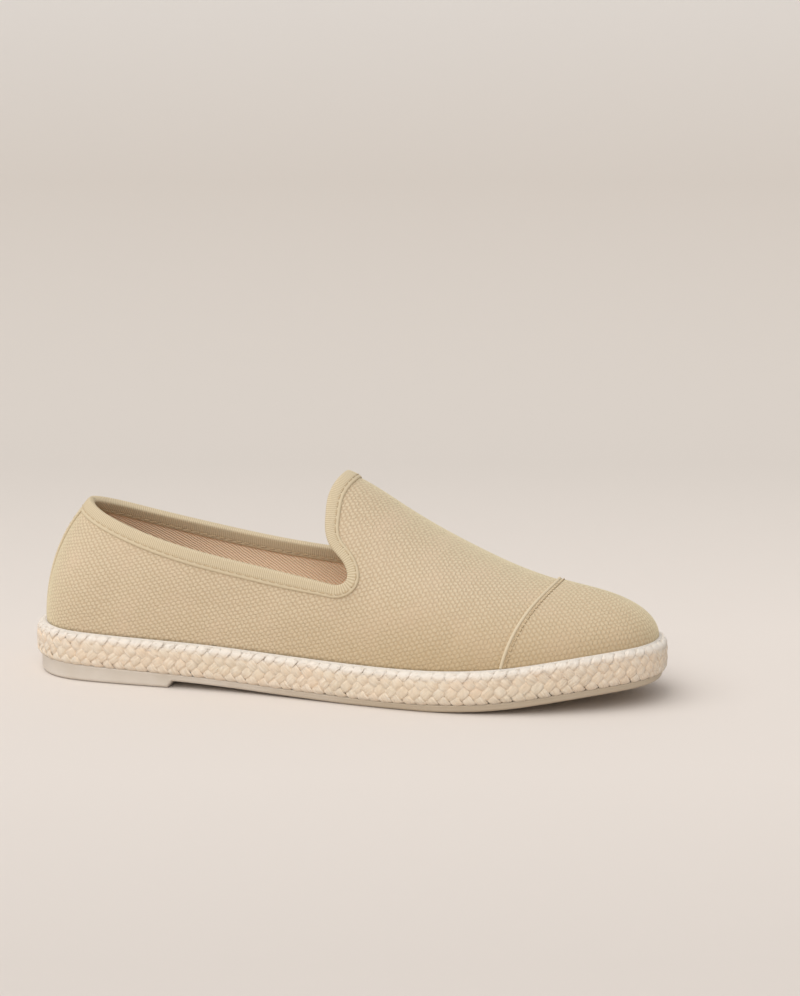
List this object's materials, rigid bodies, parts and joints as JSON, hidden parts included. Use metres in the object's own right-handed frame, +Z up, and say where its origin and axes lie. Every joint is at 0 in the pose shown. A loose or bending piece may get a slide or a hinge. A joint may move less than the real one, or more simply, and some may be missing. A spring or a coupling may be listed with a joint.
{
  "type": "espadrille",
  "caption": "Slip-on canvas espadrille on a braided rope sole, with thin rubber outsole, low heel block, stitched toe cap and ribbed binding round the foot opening.",
  "frame": {"origin": "on the floor, under the middle of the shoe's bounding box", "axes": "+X heel to toe, +Y to the inner (medial) side, +Z up"},
  "size_m": [0.2918, 0.1022, 0.0967],
  "materials": {
    "outsole_rubber": "smooth matt moulded rubber, pale warm grey",
    "jute_rope": "flat braid of bleached jute, dry fibres",
    "insole_cloth": "plain cotton twill, pink beige",
    "canvas": "heavy cotton canvas, pebbled basket weave, sand",
    "cap_canvas": "the same canvas, folded and stitched at its edge",
    "heel_tape": "flat woven cotton tape, sand",
    "binding_tape": "ribbed grosgrain tape, greenish sand"
  },
  "bodies": {
    "root": {"outsole": "outsole_rubber", "midsole": "jute_rope", "insole": "insole_cloth", "upper": "canvas", "toe_cap": "cap_canvas", "back_strip": "heel_tape", "topline_binding": "binding_tape"}
  },
  "joints": []
}
